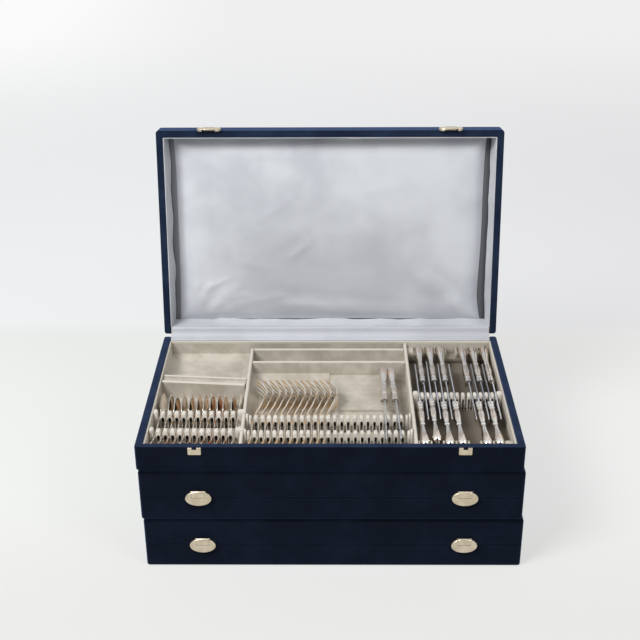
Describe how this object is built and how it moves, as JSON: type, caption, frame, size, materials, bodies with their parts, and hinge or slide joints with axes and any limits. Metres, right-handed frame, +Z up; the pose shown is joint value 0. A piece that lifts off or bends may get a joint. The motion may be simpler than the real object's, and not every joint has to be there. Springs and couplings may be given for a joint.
{
  "type": "silverware chest",
  "caption": "Stack of shallow velvet-covered cases for table silver, with hinged padded lids, oval flap latches and a flocked insert with slotted racks.",
  "frame": {"origin": "centre of the bottom case's underside", "axes": "+Z up, -Y is the front with the latches, +X to the right seen from the front"},
  "size_m": [0.5247, 0.421, 0.5147],
  "materials": {
    "velvet": "napped velvet",
    "satin": "satin",
    "flock": "flocked",
    "comb": "matt",
    "nickel": "satin",
    "hinge": "rolled",
    "silver": "polished"
  },
  "bodies": {
    "bottom_base": {"bottom_base_shell": "velvet", "bottom_hinge_base_leaf": "hinge", "bottom_hinge_pin": "hinge", "bottom_gusset_lower": "satin", "bottom_catch_plates": "nickel", "bottom_insert_tray": "flock", "bottom_combs": "comb"},
    "bottom_lid": {"bottom_lid_shell": "velvet", "bottom_lid_lining": "satin", "bottom_lid_pad": "satin", "bottom_hinge_lid_leaf": "hinge", "bottom_gusset_upper": "satin", "bottom_latch_leaves": "nickel", "bottom_latch_pins": "nickel"},
    "bottom_flap_left": {"bottom_latch_flap_left": "nickel"},
    "bottom_flap_right": {"bottom_latch_flap_right": "nickel"},
    "middle_base": {"middle_base_shell": "velvet", "middle_hinge_base_leaf": "hinge", "middle_hinge_pin": "hinge", "middle_gusset_lower": "satin", "middle_catch_plates": "nickel", "middle_insert_tray": "flock", "middle_combs": "comb"},
    "middle_lid": {"middle_lid_shell": "velvet", "middle_lid_lining": "satin", "middle_lid_pad": "satin", "middle_hinge_lid_leaf": "hinge", "middle_gusset_upper": "satin", "middle_latch_leaves": "nickel", "middle_latch_pins": "nickel"},
    "middle_flap_left": {"middle_latch_flap_left": "nickel"},
    "middle_flap_right": {"middle_latch_flap_right": "nickel"},
    "top_base": {"top_base_shell": "velvet", "top_hinge_base_leaf": "hinge", "top_hinge_pin": "hinge", "top_gusset_lower": "satin", "top_catch_plates": "nickel", "insert_tray": "flock", "left_divider": "flock", "right_divider": "flock", "rear_bars": "flock", "platform": "flock", "cross_rail": "flock", "spoon_combs": "comb", "fork_combs": "comb", "knife_comb": "comb", "knife_rests": "flock", "teaspoons": "silver", "forks": "silver", "knives": "silver", "small_knives": "silver"},
    "top_lid": {"top_lid_shell": "velvet", "top_lid_lining": "satin", "top_lid_pad": "satin", "top_hinge_lid_leaf": "hinge", "top_gusset_upper": "satin", "top_latch_leaves": "nickel", "top_latch_pins": "nickel"},
    "top_flap_left": {"top_latch_flap_left": "nickel"},
    "top_flap_right": {"top_latch_flap_right": "nickel"}
  },
  "joints": [
    {"name": "middle_case_lift", "type": "slide", "parent": "bottom_base", "child": "middle_base", "axis": [0, 0, 1], "range_m": [0, 0.6]},
    {"name": "top_case_lift", "type": "slide", "parent": "middle_base", "child": "top_base", "axis": [0, 0, 1], "range_m": [0, 0.6]},
    {"name": "bottom_lid_hinge", "type": "hinge", "parent": "bottom_base", "child": "bottom_lid", "pos_m": [0, 0.1616, 0.0377], "axis": [-1, 0, 0], "range_deg": [0, 99.45]},
    {"name": "bottom_left_latch", "type": "hinge", "parent": "bottom_lid", "child": "bottom_flap_left", "pos_m": [-0.18, -0.1612, 0.0473], "axis": [-1, 0, 0], "range_deg": [0, 105]},
    {"name": "bottom_right_latch", "type": "hinge", "parent": "bottom_lid", "child": "bottom_flap_right", "pos_m": [0.18, -0.1612, 0.0473], "axis": [-1, 0, 0], "range_deg": [0, 105]},
    {"name": "middle_lid_hinge", "type": "hinge", "parent": "middle_base", "child": "middle_lid", "pos_m": [-0.0024, 0.1632, 0.115], "axis": [-1, 0, 0], "range_deg": [0, 99.45]},
    {"name": "middle_left_latch", "type": "hinge", "parent": "middle_lid", "child": "middle_flap_left", "pos_m": [-0.1824, -0.1596, 0.1246], "axis": [-1, 0, 0], "range_deg": [0, 105]},
    {"name": "middle_right_latch", "type": "hinge", "parent": "middle_lid", "child": "middle_flap_right", "pos_m": [0.1776, -0.1596, 0.1246], "axis": [-1, 0, 0], "range_deg": [0, 105]},
    {"name": "top_lid_hinge", "type": "hinge", "parent": "top_base", "child": "top_lid", "pos_m": [-0.0047, 0.1666, 0.1923], "axis": [-1, 0, 0], "range_deg": [-99.45, 0]},
    {"name": "top_left_latch", "type": "hinge", "parent": "top_lid", "child": "top_flap_left", "pos_m": [-0.1847, 0.22907, 0.50914], "axis": [-1, 0, 0], "range_deg": [0, 105]},
    {"name": "top_right_latch", "type": "hinge", "parent": "top_lid", "child": "top_flap_right", "pos_m": [0.1753, 0.22907, 0.50914], "axis": [-1, 0, 0], "range_deg": [0, 105]}
  ],
  "couplings": [
    {"joint": "bottom_lid_hinge", "follows": "middle_case_lift", "rad_per_m": 2.892},
    {"joint": "middle_lid_hinge", "follows": "top_case_lift", "rad_per_m": 2.892}
  ]
}
